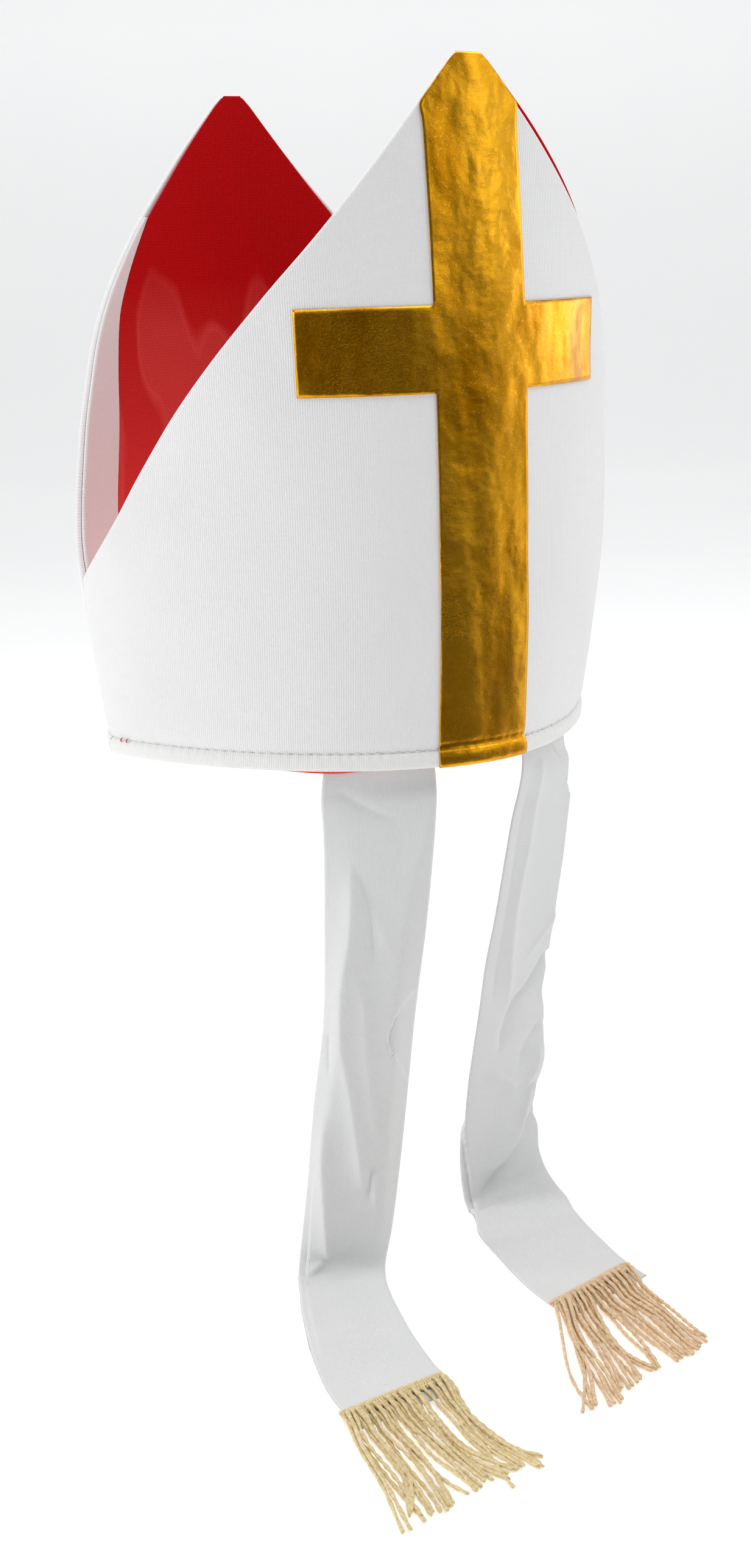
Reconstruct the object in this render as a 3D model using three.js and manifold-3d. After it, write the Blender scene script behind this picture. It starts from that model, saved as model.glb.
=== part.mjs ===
// Bishop mitre of foam-backed cloth: two pointed panels sewn at the sides, red linings, a puffy hem
// round the head opening, a gold foil cross and two hanging lappets with fringed ends.
// Millimetres, +Z up. The cross panel faces -Y. The origin is the centre of the head opening, at the
// bottom of the hem.
import * as THREE from 'three';
import { mergeVertices } from 'three/addons/utils/BufferGeometryUtils.js';
import Module from 'manifold-3d';

const wasm = await Module();
wasm.setup();

// Driving dimensions of the mitre
const headRound = 590;          // length of the hem round the head
const mitreHeight = 240.7;      // hem bottom to the tip of a horn
const notchHeight = 66.3;       // hem bottom to the bottom of the notch at each side
const panelThickness = 2.2;     // cloth with its foam backing
const liningThickness = 1;
const liningGap = 0.75;         // between panel and lining
const gap = 0.3;                // between pieces that touch

// The hem
const hemHeight = 6.3;
const hemOutside = 1.2;         // how far the hem stands out past the panels
const hemThickness = 3.2;
const hemSides = 8;

// The lining and its white facings in the plain horn
const liningBottom = 0.8;       // height of the linings' lower edge
const facingLeast = 0.045;      // least white beside the red in the plain horn, as a share of its half width

// The gold cross
const barWidth = 36.5;
const armSpan = 131;
const armBottom = 130.7;
const armHeight = 29;
const foilThickness = 0.4;
const foilGap = 0.4;            // between foil and cloth

// The lappets
const lappetWidth = 42;
const lappetThickness = 1.4;
const lappetTop = 12;           // height where a lappet is sewn inside the hem
const lappetInside = 0.8;       // from the lining to a lappet's sewn end
const lappetDrop = 189;         // hem bottom to the surface where the lappet ends lie
const leftLappetPlace = -39.5;  // along the hem from the middle of the cross
const rightLappetPlace = 44.5;

// The fringes
const headingDepth = 4;         // size of the braid along the lappet
const headingThickness = 2;
const lockWidth = 5;
const lockThickness = 2;
const clothEndLength = 9;       // the lappet's end runs on under the fringe
const lockSettle = 0.3;         // share of its length by which a lock has come down to the surface
const lockLift = 0.1;           // from the surface to a lock
const fringeLength = 62;

// Level sections of the mitre: height, and half widths as shares of the hem's round. The hem was
// shaped a little fuller on its left (-X) than on its right.
const sections = [
  { height: 0, halfLeft: 0.176, halfRight: 0.1625, halfY: 0.1612 },
  { height: notchHeight, halfLeft: 0.1897, halfRight: 0.186, halfY: 0.1673 },
  { height: (notchHeight + mitreHeight) / 2, halfLeft: 0.1941, halfRight: 0.1915, halfY: 0.1673 },
  { height: mitreHeight, halfLeft: 0.2449, halfRight: 0.2449, halfY: 0.1561 },
];
const roundness = 1.95;         // power of X in the section curve
const seamCrease = 1.3;         // power of Y: below 2, so the section has a soft corner at each side seam

// Slanted edge of a horn: rise as a share of the horn's height, half width as a share of the half width
// at the notch
const hornEdge = [
  { rise: 0, half: 1 },
  { rise: 0.111, half: 0.891 },
  { rise: 0.222, half: 0.802 },
  { rise: 0.333, half: 0.7 },
  { rise: 0.444, half: 0.615 },
  { rise: 0.556, half: 0.482 },
  { rise: 0.667, half: 0.36 },
  { rise: 0.778, half: 0.248 },
  { rise: 0.889, half: 0.141 },
  { rise: 1, half: 0.033 },
];

// Edge of the red lining in the plain horn, in the same shares; white facing lies beyond it
const redEdge = [
  { rise: -0.38, half: 0.545 },
  { rise: 0.08, half: 0.538 },
  { rise: 0.28, half: 0.498 },
  { rise: 0.41, half: 0.473 },
  { rise: 0.52, half: 0.435 },
  { rise: 0.6, half: 0.378 },
  { rise: 0.7, half: 0.302 },
  { rise: 0.78, half: 0.248 },
  { rise: 1, half: 0.08 },
];

// Rows of a lappet: height as a share of its drop, place in plan as shares of the hem's round, the angle
// of its width to +X in degrees, how much of its width is spread out, and the depth of its pleats as a
// share of its width
const leftLappetRows = [
  { height: -0.032, x: -0.0608, y: -0.1364, angle: -29, spread: 1, pleat: 0.01 },
  { height: -0.132, x: -0.0629, y: -0.1383, angle: -32, spread: 0.95, pleat: 0.04 },
  { height: -0.302, x: -0.068, y: -0.1395, angle: -33, spread: 0.88, pleat: 0.09 },
  { height: -0.492, x: -0.0756, y: -0.1407, angle: -34, spread: 0.79, pleat: 0.12 },
  { height: -0.651, x: -0.0836, y: -0.1408, angle: -34, spread: 0.81, pleat: 0.11 },
  { height: -0.794, x: -0.091, y: -0.1424, angle: -34, spread: 0.8, pleat: 0.1 },
  { height: -0.91, x: -0.0983, y: -0.1441, angle: -34, spread: 0.79, pleat: 0.07 },
  { height: -0.974, x: -0.1034, y: -0.1454, angle: -34, spread: 0.77, pleat: 0.03 },
  { height: -1, x: -0.1076, y: -0.1529, angle: -34, spread: 0.78, pleat: 0.01 },
  { height: -1, x: -0.1136, y: -0.1678, angle: -34, spread: 0.79, pleat: 0 },
  { height: -1, x: -0.1202, y: -0.1847, angle: -32, spread: 0.82, pleat: 0 },
  { height: -1, x: -0.1346, y: -0.229, angle: -22, spread: 0.88, pleat: 0 },
  { height: -1, x: -0.1436, y: -0.2659, angle: -6, spread: 0.93, pleat: 0 },
  { height: -1, x: -0.1454, y: -0.2864, angle: 2, spread: 0.96, pleat: 0 },
  { height: -1, x: -0.1475, y: -0.3042, angle: 5, spread: 0.97, pleat: 0 },
];
const rightLappetRows = [
  { height: -0.074, x: 0.0656, y: -0.1293, angle: 27, spread: 1, pleat: 0.01 },
  { height: -0.164, x: 0.0608, y: -0.1278, angle: 24, spread: 1, pleat: 0.02 },
  { height: -0.307, x: 0.0558, y: -0.1232, angle: 21.5, spread: 1, pleat: 0.02 },
  { height: -0.46, x: 0.0492, y: -0.1175, angle: 20, spread: 1, pleat: 0.03 },
  { height: -0.64, x: 0.0442, y: -0.1115, angle: 16.5, spread: 1, pleat: 0.04 },
  { height: -0.794, x: 0.0408, y: -0.1075, angle: 14, spread: 1, pleat: 0.04 },
  { height: -0.899, x: 0.0414, y: -0.1061, angle: 12, spread: 1, pleat: 0.03 },
  { height: -0.968, x: 0.0439, y: -0.108, angle: 9, spread: 1, pleat: 0.02 },
  { height: -1, x: 0.0446, y: -0.1161, angle: 5, spread: 1, pleat: 0.01 },
  { height: -1, x: 0.0395, y: -0.1322, angle: 0, spread: 1, pleat: 0 },
  { height: -1, x: 0.0317, y: -0.1514, angle: -5, spread: 1, pleat: 0 },
  { height: -1, x: 0.0253, y: -0.1834, angle: -6, spread: 1, pleat: 0 },
  { height: -1, x: 0.0197, y: -0.2215, angle: 2, spread: 1, pleat: 0 },
  { height: -1, x: 0.0186, y: -0.2439, angle: 9, spread: 1, pleat: 0 },
  { height: -1, x: 0.0197, y: -0.2597, angle: 14, spread: 1, pleat: 0 },
];

// Pleats across a lappet, from its left edge to its right, as shares of the row's pleat depth
const leftPleats = [0, 0.85, 1, 1, 0.95, 0.7, 0];
const rightPleats = [0, 1, 0.6, 0.5, 0.5, 0.6, 0];

// Locks of a fringe: where each starts across the lappet as a share of its width, and how far it reaches
// and drifts sideways as shares of the fringe length
const leftLocks = [
  { across: -0.44, reach: 1.02, drift: -0.33 },
  { across: -0.33, reach: 0.98, drift: -0.28 },
  { across: -0.22, reach: 0.98, drift: -0.27 },
  { across: -0.11, reach: 0.99, drift: -0.25 },
  { across: 0, reach: 0.95, drift: -0.19 },
  { across: 0.11, reach: 0.94, drift: -0.14 },
  { across: 0.22, reach: 0.97, drift: -0.11 },
  { across: 0.33, reach: 0.95, drift: -0.13 },
  { across: 0.44, reach: 0.97, drift: -0.03 },
];
const rightLocks = [
  { across: -0.44, reach: 0.88, drift: -0.68 },
  { across: -0.33, reach: 0.9, drift: -0.68 },
  { across: -0.22, reach: 0.94, drift: -0.66 },
  { across: -0.11, reach: 0.9, drift: -0.6 },
  { across: 0, reach: 0.88, drift: -0.53 },
  { across: 0.11, reach: 0.88, drift: -0.49 },
  { across: 0.22, reach: 0.89, drift: -0.41 },
  { across: 0.33, reach: 0.9, drift: -0.37 },
  { across: 0.44, reach: 0.89, drift: -0.33 },
];

const white = { color: 0xe9e8ea, roughness: 0.8, metalness: 0 };
const red = { color: 0xb31a20, roughness: 0.85, metalness: 0 };
const gold = { color: 0xc8901c, roughness: 0.3, metalness: 0.9 };
const braid = { color: 0xc9b26c, roughness: 0.6, metalness: 0.3 };

const mitre = new THREE.Group();
mitre.name = 'bishop_mitre';

function addPiece(name, geometry, look) {
  const piece = new THREE.Mesh(geometry, new THREE.MeshStandardMaterial(look));
  piece.name = name;
  mitre.add(piece);
}

// Smooth value of one column of a table at a place along another column
function tableValue(rows, along, column, at) {
  const last = rows.length - 1;
  let k = 0;
  while (k < last - 1 && at > rows[k + 1][along]) k += 1;
  const slope = (i) => {
    const before = rows[Math.max(i - 1, 0)];
    const after = rows[Math.min(i + 1, last)];
    return (after[column] - before[column]) / (after[along] - before[along]);
  };
  const span = rows[k + 1][along] - rows[k][along];
  const t = Math.min(Math.max((at - rows[k][along]) / span, 0), 1);
  const start = rows[k][column] * (1 + 2 * t) * (1 - t) ** 2;
  const end = rows[k + 1][column] * t * t * (3 - 2 * t);
  return start + end + span * (slope(k) * t * (1 - t) ** 2 - slope(k + 1) * t * t * (1 - t));
}

// A quarter of the level section, from the middle of the cross panel to a side seam (side -1 is left,
// 1 is right), with the length along it
const quarterCache = new Map();
function quarterSection(height, side) {
  const key = `${height} ${side}`;
  if (quarterCache.has(key)) return quarterCache.get(key);
  const halfX = headRound * tableValue(sections, 'height', side < 0 ? 'halfLeft' : 'halfRight', height);
  const halfY = headRound * tableValue(sections, 'height', 'halfY', height);
  const steps = 160;
  const points = [];
  let length = 0;
  for (let i = 0; i <= steps; i += 1) {
    const angle = (Math.PI / 2) * (i / steps);
    const x = i === 0 ? 0 : halfX * Math.sin(angle) ** (2 / roundness);
    const y = i === steps ? 0 : -halfY * Math.cos(angle) ** (2 / seamCrease);
    if (i > 0) length += Math.hypot(x - points[i - 1].x, y - points[i - 1].y);
    points.push({ x, y, length });
  }
  quarterCache.set(key, points);
  return points;
}

function quarterLength(height, side) {
  const points = quarterSection(height, side);
  return points[points.length - 1].length;
}

// Half width of a panel at a height: to the side seam below the notch, to the slanted edge above it
function panelHalf(height, side) {
  if (height <= notchHeight) return quarterLength(height, side);
  const rise = (height - notchHeight) / (mitreHeight - notchHeight);
  return quarterLength(notchHeight, side) * tableValue(hornEdge, 'rise', 'half', rise);
}

// Point of the cross panel's outer face, `across` along the cloth from its middle, moved outwards
function facePoint(across, height, outwards) {
  const side = across < 0 ? -1 : 1;
  const points = quarterSection(height, side);
  const reach = Math.min(Math.abs(across), points[points.length - 1].length);
  let k = 0;
  while (k < points.length - 2 && points[k + 1].length < reach) k += 1;
  const a = points[k];
  const b = points[k + 1];
  const t = (reach - a.length) / (b.length - a.length);
  const run = Math.hypot(b.x - a.x, b.y - a.y);
  const x = a.x + (b.x - a.x) * t + (outwards * (b.y - a.y)) / run;
  const y = a.y + (b.y - a.y) * t - (outwards * (b.x - a.x)) / run;
  return new THREE.Vector3(side * Math.max(x, 0), Math.min(y, -gap / 2), height);
}

// The plain panel faces the cross panel across the side seams
function mirrored(point) {
  return new THREE.Vector3(point.x, -point.y, point.z);
}

// Closed body from lists of corners and four-sided faces, with its faces pointing out
function closedBody(corners, quads) {
  const positions = corners.flatMap((corner) => [corner.x, corner.y, corner.z]);
  let triangles = quads.flatMap(([a, b, c, d]) => [a, b, c, a, c, d]);
  let volume = 0;
  for (let i = 0; i < triangles.length; i += 3) {
    const [a, b, c] = [0, 1, 2].map((j) => corners[triangles[i + j]]);
    volume += a.dot(new THREE.Vector3().crossVectors(b, c));
  }
  if (volume < 0) triangles = triangles.reverse();
  const geometry = new THREE.BufferGeometry();
  geometry.setAttribute('position', new THREE.Float32BufferAttribute(positions, 3));
  geometry.setIndex(triangles);
  geometry.computeVertexNormals();
  return geometry;
}

// Skin of cells on a grid of rows and columns: an outer and an inner face, and a wall wherever a cell
// has no neighbour. `corner(row, column, layer)` gives the point, `filled(row, column)` the cells.
function skin(rowCount, columnCount, corner, filled = () => true) {
  const corners = [];
  const numbers = new Map();
  const number = (row, column, layer) => {
    const key = `${row} ${column} ${layer}`;
    if (!numbers.has(key)) {
      numbers.set(key, corners.length);
      corners.push(corner(row, column, layer));
    }
    return numbers.get(key);
  };
  const has = (row, column) => row >= 0 && column >= 0 && row < rowCount && column < columnCount
    && filled(row, column);
  const quads = [];
  for (let row = 0; row < rowCount; row += 1) {
    for (let column = 0; column < columnCount; column += 1) {
      if (!has(row, column)) continue;
      const ring = [[row, column], [row, column + 1], [row + 1, column + 1], [row + 1, column]];
      const beside = [[row - 1, column], [row, column + 1], [row + 1, column], [row, column - 1]];
      quads.push(ring.map(([r, c]) => number(r, c, 0)));
      quads.push(ring.map(([r, c]) => number(r, c, 1)).reverse());
      beside.forEach(([r, c], i) => {
        if (has(r, c)) return;
        const [from, to] = [ring[i], ring[(i + 1) % 4]];
        quads.push([number(...to, 0), number(...from, 0), number(...from, 1), number(...to, 1)]);
      });
    }
  }
  return closedBody(corners, quads);
}

// Heights of the rows that panels, linings and cross share
const armTop = armBottom + armHeight;
const panelBottom = hemHeight + gap;
const rowClear = 3;             // least distance from a row to the edge of the cross's arms
const wallRows = 5;
const hornRows = 13;
function sharedHeights(bottom) {
  const heights = [bottom];
  for (let i = 1; i <= wallRows; i += 1) {
    heights.push(panelBottom + ((notchHeight - panelBottom) * i) / wallRows);
  }
  for (let i = 1; i <= hornRows; i += 1) {
    heights.push(notchHeight + ((mitreHeight - notchHeight) * i) / hornRows);
  }
  const fromArms = (height) => Math.min(Math.abs(height - armBottom), Math.abs(height - armTop));
  const kept = heights.filter((height) => fromArms(height) > rowClear);
  return [...kept, armBottom, armTop].sort((a, b) => a - b);
}

// A layer of a panel between two shares of its width and two depths under the outer face. A share below
// 0 lies to the left. `plain` puts it on the plain side.
function panelLayer({ bottom, columns, outer, inner, from = () => -1, to = () => 1, ...options }) {
  const { top = mitreHeight, plain = false } = options;
  const heights = sharedHeights(bottom).filter((height) => height < top - rowClear / 3);
  heights.push(top);
  return skin(heights.length - 1, columns, (row, column, layer) => {
    const height = heights[row];
    const share = from(height) + ((to(height) - from(height)) * column) / columns;
    const across = share * panelHalf(height, share < 0 ? -1 : 1);
    const point = facePoint(across, height, layer === 0 ? outer : inner);
    return plain ? mirrored(point) : point;
  });
}

const panelColumns = 28;
const liningOuter = -(panelThickness + liningGap);
const liningInner = liningOuter - liningThickness;

function makePanels() {
  const sizes = { bottom: panelBottom, columns: panelColumns, outer: 0, inner: -panelThickness };
  addPiece('cross_panel', panelLayer(sizes), white);
  addPiece('plain_panel', panelLayer({ ...sizes, plain: true }), white);
}

// Share of the panel's width on each side that the red lining of the plain horn covers
function redShare(height) {
  const rise = (height - notchHeight) / (mitreHeight - notchHeight);
  const half = quarterLength(notchHeight, -1) * tableValue(redEdge, 'rise', 'half', rise);
  return Math.min(half / panelHalf(height, -1), 1 - facingLeast);
}

function makeLinings() {
  const depth = { bottom: liningBottom, outer: liningOuter, inner: liningInner };
  addPiece('cross_lining', panelLayer({ ...depth, columns: panelColumns / 2 }), red);
  const halfGap = (height) => gap / 2 / panelHalf(height, 1);
  const redEnd = (height) => redShare(height) - halfGap(height);
  const facingStart = (height) => redShare(height) + halfGap(height);
  const plain = { ...depth, plain: true };
  const redPart = { ...plain, columns: 18, from: (height) => -redEnd(height), to: redEnd };
  addPiece('plain_lining', panelLayer(redPart), red);
  let top = notchHeight;
  while (redShare(top) < 1 - facingLeast) top += (mitreHeight - notchHeight) / 200;
  const facing = { ...plain, columns: 6, top };
  const leftEnd = (height) => -facingStart(height);
  addPiece('left_facing', panelLayer({ ...facing, from: () => -1, to: leftEnd }), white);
  addPiece('right_facing', panelLayer({ ...facing, from: facingStart, to: () => 1 }), white);
}

// Point of the hem's rounded section: `angle` goes round it, `proud` lifts it off
const hemMiddle = hemOutside - hemThickness / 2;
function hemPoint(across, angle, proud) {
  const height = hemHeight / 2 + (hemHeight / 2 + proud) * Math.sin(angle);
  const outwards = hemMiddle + (hemThickness / 2 + proud) * Math.cos(angle);
  const point = facePoint(across, 0, outwards);
  point.z = height;
  return point;
}

function makeHem() {
  const columns = panelColumns;
  const corners = [];
  const quads = [];
  for (let column = 0; column < columns * 2; column += 1) {
    const share = column <= columns ? (2 * column) / columns - 1 : 3 - (2 * column) / columns;
    const along = share * quarterLength(0, share < 0 ? -1 : 1);
    for (let side = 0; side < hemSides; side += 1) {
      const point = hemPoint(along, (side / hemSides) * 2 * Math.PI, 0);
      if (Math.abs(point.y) <= gap) point.y = 0;
      corners.push(column <= columns ? point : mirrored(point));
      const start = column * hemSides;
      const next = ((column + 1) % (columns * 2)) * hemSides;
      const up = (side + 1) % hemSides;
      quads.push([start + side, next + side, next + up, start + up]);
    }
  }
  addPiece('hem_band', closedBody(corners, quads), white);
}

// The cross is one skin: a bar from under the hem to the tip, and an arm to each side
function makeCross() {
  const hemAngles = [-75, -45, -15, 15, 40, 62].map((degrees) => (degrees * Math.PI) / 180);
  const heights = sharedHeights(panelBottom + 1);
  const armColumns = 5;
  const barColumns = 4;
  const columns = armColumns * 2 + barColumns;
  const barHalf = (height) => Math.min(barWidth / 2, panelHalf(height, 1));
  const across = (column, height) => {
    const half = barHalf(height);
    if (column < armColumns) return -armSpan / 2 + ((armSpan / 2 - half) * column) / armColumns;
    if (column <= armColumns + barColumns) return -half + (2 * half * (column - armColumns)) / barColumns;
    return half + ((armSpan / 2 - half) * (column - armColumns - barColumns)) / armColumns;
  };
  const hemRows = hemAngles.length;
  const armStart = hemRows + heights.indexOf(armBottom);
  const armEnd = hemRows + heights.indexOf(armTop);
  const corner = (row, column, layer) => {
    const proud = foilGap + (layer === 0 ? foilThickness : 0);
    if (row < hemRows) return hemPoint(across(column, 0), hemAngles[row], proud);
    const height = heights[row - hemRows];
    return facePoint(across(column, height), height, proud);
  };
  const filled = (row, column) => {
    if (column >= armColumns && column < armColumns + barColumns) return true;
    return row >= armStart && row < armEnd;
  };
  addPiece('gold_cross', skin(hemRows + heights.length - 1, columns, corner, filled), gold);
}

// Places along a lappet's middle line
function lappetStations(rows) {
  return rows.map((row) => {
    const height = Math.max(row.height * lappetDrop, -lappetDrop + lappetThickness / 2);
    const middle = new THREE.Vector3(row.x * headRound, row.y * headRound, height);
    return { ...row, middle, angle: (row.angle * Math.PI) / 180 };
  });
}

// Two rows sewn flat against the lining, then a strip of doubled cloth through the stations, with
// pleats along it that stand towards the front
function makeLappet(name, place, stations, pleats) {
  const columns = pleats.length - 1;
  const sewn = [lappetTop, 0];
  const sewnDepth = liningInner - lappetInside - lappetThickness / 2;
  const corner = (row, column, layer) => {
    const share = (2 * column) / columns - 1;
    const half = (layer === 0 ? 1 : -1) * (lappetThickness / 2);
    if (row < sewn.length) return facePoint(place + (share * lappetWidth) / 2, sewn[row], sewnDepth + half);
    const k = row - sewn.length;
    const { middle, angle, spread, pleat } = stations[k];
    const before = k === 0 ? facePoint(place, 0, sewnDepth) : stations[k - 1].middle;
    const after = stations[Math.min(k + 1, stations.length - 1)].middle;
    const across = new THREE.Vector3(Math.cos(angle), Math.sin(angle), 0);
    const along = new THREE.Vector3().subVectors(after, before).normalize();
    const facing = new THREE.Vector3().crossVectors(along, across).normalize();
    const point = middle.clone().addScaledVector(across, (share * spread * lappetWidth) / 2);
    return point.addScaledVector(facing, pleat * lappetWidth * pleats[column] + half);
  };
  addPiece(name, skin(sewn.length + stations.length - 1, columns, corner), white);
}

function asSolid(geometry) {
  const bare = geometry.clone();
  bare.deleteAttribute('normal');
  bare.deleteAttribute('uv');
  const merged = mergeVertices(bare, 1e-4);
  return new wasm.Manifold(new wasm.Mesh({
    numProp: 3,
    vertProperties: new Float32Array(merged.attributes.position.array),
    triVerts: new Uint32Array(merged.index.array),
  }));
}

function asGeometry(solid) {
  const mesh = solid.getMesh();
  const geometry = new THREE.BufferGeometry();
  geometry.setAttribute('position', new THREE.BufferAttribute(new Float32Array(mesh.vertProperties), 3));
  geometry.setIndex(new THREE.BufferAttribute(new Uint32Array(mesh.triVerts), 1));
  geometry.computeVertexNormals();
  return geometry;
}

// A fringe sewn on top of a lappet near its end: a braid heading with tapering locks fused to it, which
// come down past the end of the cloth to the surface
function makeFringe(name, end, locks) {
  const across = new THREE.Vector3(Math.cos(end.angle), Math.sin(end.angle), 0);
  const along = new THREE.Vector3(across.y, -across.x, 0);
  const clothTop = lappetThickness + gap;
  const start = end.middle.clone().addScaledVector(along, -clothEndLength);
  start.z = -lappetDrop + clothTop + headingThickness / 2;
  const heading = new THREE.BoxGeometry(lappetWidth, headingDepth, headingThickness);
  heading.rotateZ(end.angle).translate(start.x, start.y, start.z);
  let fringe = asSolid(heading);
  const shares = [0, 0.1, 0.19, lockSettle, 0.5, 0.75, 1];
  locks.forEach((lock) => {
    const reach = fringeLength * lock.reach;
    const corner = (row, column, layer) => {
      const share = shares[row];
      const width = lockWidth * (1 - 0.45 * share);
      const drift = lock.drift * fringeLength * share ** 1.3;
      const side = lock.across * lappetWidth + drift + (column - 0.5) * width;
      const point = start.clone().addScaledVector(across, side).addScaledVector(along, reach * share);
      const bottom = share < lockSettle ? clothTop : lockLift;
      point.z = -lappetDrop + bottom + (layer === 0 ? lockThickness - lockLift : 0);
      return point;
    };
    fringe = fringe.add(asSolid(skin(shares.length - 1, 1, corner)));
  });
  addPiece(name, asGeometry(fringe), braid);
}

makePanels();
makeLinings();
makeHem();
makeCross();
const leftStations = lappetStations(leftLappetRows);
const rightStations = lappetStations(rightLappetRows);
makeLappet('left_lappet', leftLappetPlace, leftStations, leftPleats);
makeLappet('right_lappet', rightLappetPlace, rightStations, rightPleats);
makeFringe('left_fringe', leftStations[leftStations.length - 1], leftLocks);
makeFringe('right_fringe', rightStations[rightStations.length - 1], rightLocks);

export default mitre;
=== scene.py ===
"""A bishop mitre of foam-backed white cloth with red linings, a gold foil cross and fringed lappets.

Shapes are worked out in millimetres, in the frame of the solids, and turned to metres in new_piece.
"""
import math
import random

import bpy
import numpy as np
from mathutils import Matrix, Vector, noise


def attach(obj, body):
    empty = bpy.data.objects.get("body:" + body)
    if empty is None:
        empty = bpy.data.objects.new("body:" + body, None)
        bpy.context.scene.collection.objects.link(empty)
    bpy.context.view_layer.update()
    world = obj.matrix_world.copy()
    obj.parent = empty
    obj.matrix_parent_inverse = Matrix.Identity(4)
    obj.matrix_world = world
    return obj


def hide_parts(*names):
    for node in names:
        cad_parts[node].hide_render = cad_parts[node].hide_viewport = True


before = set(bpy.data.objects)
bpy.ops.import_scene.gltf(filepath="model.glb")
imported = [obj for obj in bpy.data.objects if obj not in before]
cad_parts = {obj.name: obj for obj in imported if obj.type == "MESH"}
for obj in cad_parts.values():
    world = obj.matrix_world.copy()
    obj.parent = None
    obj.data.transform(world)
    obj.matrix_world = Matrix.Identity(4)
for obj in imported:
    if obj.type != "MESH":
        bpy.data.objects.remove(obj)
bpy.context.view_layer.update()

MM = 0.001

# Sizes of the mitre, as in the solids
HEAD_ROUND = 590.0
MITRE_HEIGHT = 240.7
NOTCH_HEIGHT = 66.3
PANEL_THICK = 2.2
LINING_OUTER = -2.95
LINING_THICK = 0.9
FACING_OUTER = -2.3
FACING_THICK = 1.5
FACING_LEAST = 0.045
SEAM_GAP = 0.1
TIP_ROUND_HEIGHT = 3.0
TIP_ROUND_DEPTH = 1.6
ROUNDNESS = 1.95
SEAM_CREASE = 1.3
SECTION_HEIGHTS = [0, NOTCH_HEIGHT, (NOTCH_HEIGHT + MITRE_HEIGHT) / 2, MITRE_HEIGHT]
SECTION_HALF_X = {-1: [0.176, 0.1897, 0.1941, 0.2449], 1: [0.1625, 0.186, 0.1915, 0.2449]}
SECTION_HALF_Y = [0.1612, 0.1673, 0.1673, 0.1561]
HORN_RISE = [0, 0.111, 0.222, 0.333, 0.444, 0.556, 0.667, 0.778, 0.889, 1]
HORN_HALF = [1, 0.891, 0.802, 0.708, 0.6, 0.482, 0.36, 0.248, 0.141, 0.033]
RED_RISE = [-0.38, 0.08, 0.28, 0.41, 0.52, 0.6, 0.7, 0.78, 1]
RED_HALF = [0.545, 0.538, 0.498, 0.473, 0.435, 0.378, 0.302, 0.248, 0.08]

# Hem
STITCH_HEIGHT = 6.1
STITCH_PITCH = 3.6
HEM_MIDDLE = -0.5
HEM_HALF_THICK = 1.75
HEM_HALF_HEIGHT = 3.1
HEM_FULLNESS = 0.8    # 1 is an ellipse, and less is nearer to a box
GROOVE_DEPTH = 0.9
GROOVE_SPREAD = 2.2
STITCH_DENT = 0.12

# Cross
BAR_HALF = 18.25
ARM_HALF = 65.5
ARM_BOTTOM = 130.7
ARM_TOP = 159.7
FLARE, FLARE_HEIGHT, FLARE_SPREAD = 1.6, 229.0, 7.0
FOIL_LIFT = 0.35
FOIL_THICK = 0.2

# Lappets and fringes
LAPPET_WIDTH = 42.0
LAPPET_THICK = 1.1
LAPPET_TOP = 12.0
LAPPET_DROP = 189.0
LAPPET_DEPTH = -4.95
FLOOR = -LAPPET_DROP
RESTING_GAP = 0.1

# Camera, from a fit to the photograph's outlines
CAMERA_PLACE = (-376.6, -697.1, 175.1)
CAMERA_YAW = 28.83
CAMERA_PITCH = -14.4
CAMERA_ROLL = -1.91
FOCAL_PIXELS = 3353.8
IMAGE_HEIGHT = 2576


# Surface of the mitre

def curve(xs, ys, x):
    """Smooth value of a table, with slopes taken from the neighbours."""
    xs, ys, x = (np.asarray(values, float) for values in (xs, ys, x))
    slopes = np.gradient(ys, edge_order=1) / np.gradient(xs, edge_order=1)
    k = np.clip(np.searchsorted(xs, x, side="left") - 1, 0, len(xs) - 2)
    span = xs[k + 1] - xs[k]
    t = np.clip((x - xs[k]) / span, 0, 1)
    value = ys[k] * (1 + 2 * t) * (1 - t) ** 2 + ys[k + 1] * t * t * (3 - 2 * t)
    return value + span * (slopes[k] * t * (1 - t) ** 2 - slopes[k + 1] * t * t * (1 - t))


def ease(t):
    """From 0 to 1 with level ends."""
    return t * t * (3 - 2 * t)


quarters = {}


def quarter(height, side):
    """Level section from the panel's middle to its left (-1) or right (1) seam: points, lengths, normals."""
    key = (round(height, 3), side)
    if key not in quarters:
        a = HEAD_ROUND * float(curve(SECTION_HEIGHTS, SECTION_HALF_X[side], height))
        b = HEAD_ROUND * float(curve(SECTION_HEIGHTS, SECTION_HALF_Y, height))
        angle = np.linspace(0, math.pi / 2, 301)
        x = a * np.sin(angle) ** (2 / ROUNDNESS)
        y = -b * np.maximum(np.cos(angle), 0) ** (2 / SEAM_CREASE)
        steps = np.hypot(np.diff(x), np.diff(y))
        length = np.concatenate([[0], np.cumsum(steps)])
        nx = np.gradient(y, length)
        ny = -np.gradient(x, length)
        size = np.hypot(nx, ny)
        quarters[key] = (x, y, length, nx / size, ny / size)
    return quarters[key]


def quarter_length(height, side):
    return quarter(height, side)[2][-1]


def horn_half(height, side):
    if height <= NOTCH_HEIGHT:
        return quarter_length(height, side)
    rise = (height - NOTCH_HEIGHT) / (MITRE_HEIGHT - NOTCH_HEIGHT)
    half = quarter_length(NOTCH_HEIGHT, side) * float(curve(HORN_RISE, HORN_HALF, rise))
    near_tip = min(max((height - MITRE_HEIGHT + TIP_ROUND_HEIGHT) / TIP_ROUND_HEIGHT, 0), 1)
    return half - TIP_ROUND_DEPTH * (1 - math.sqrt(1 - near_tip ** 2))


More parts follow.
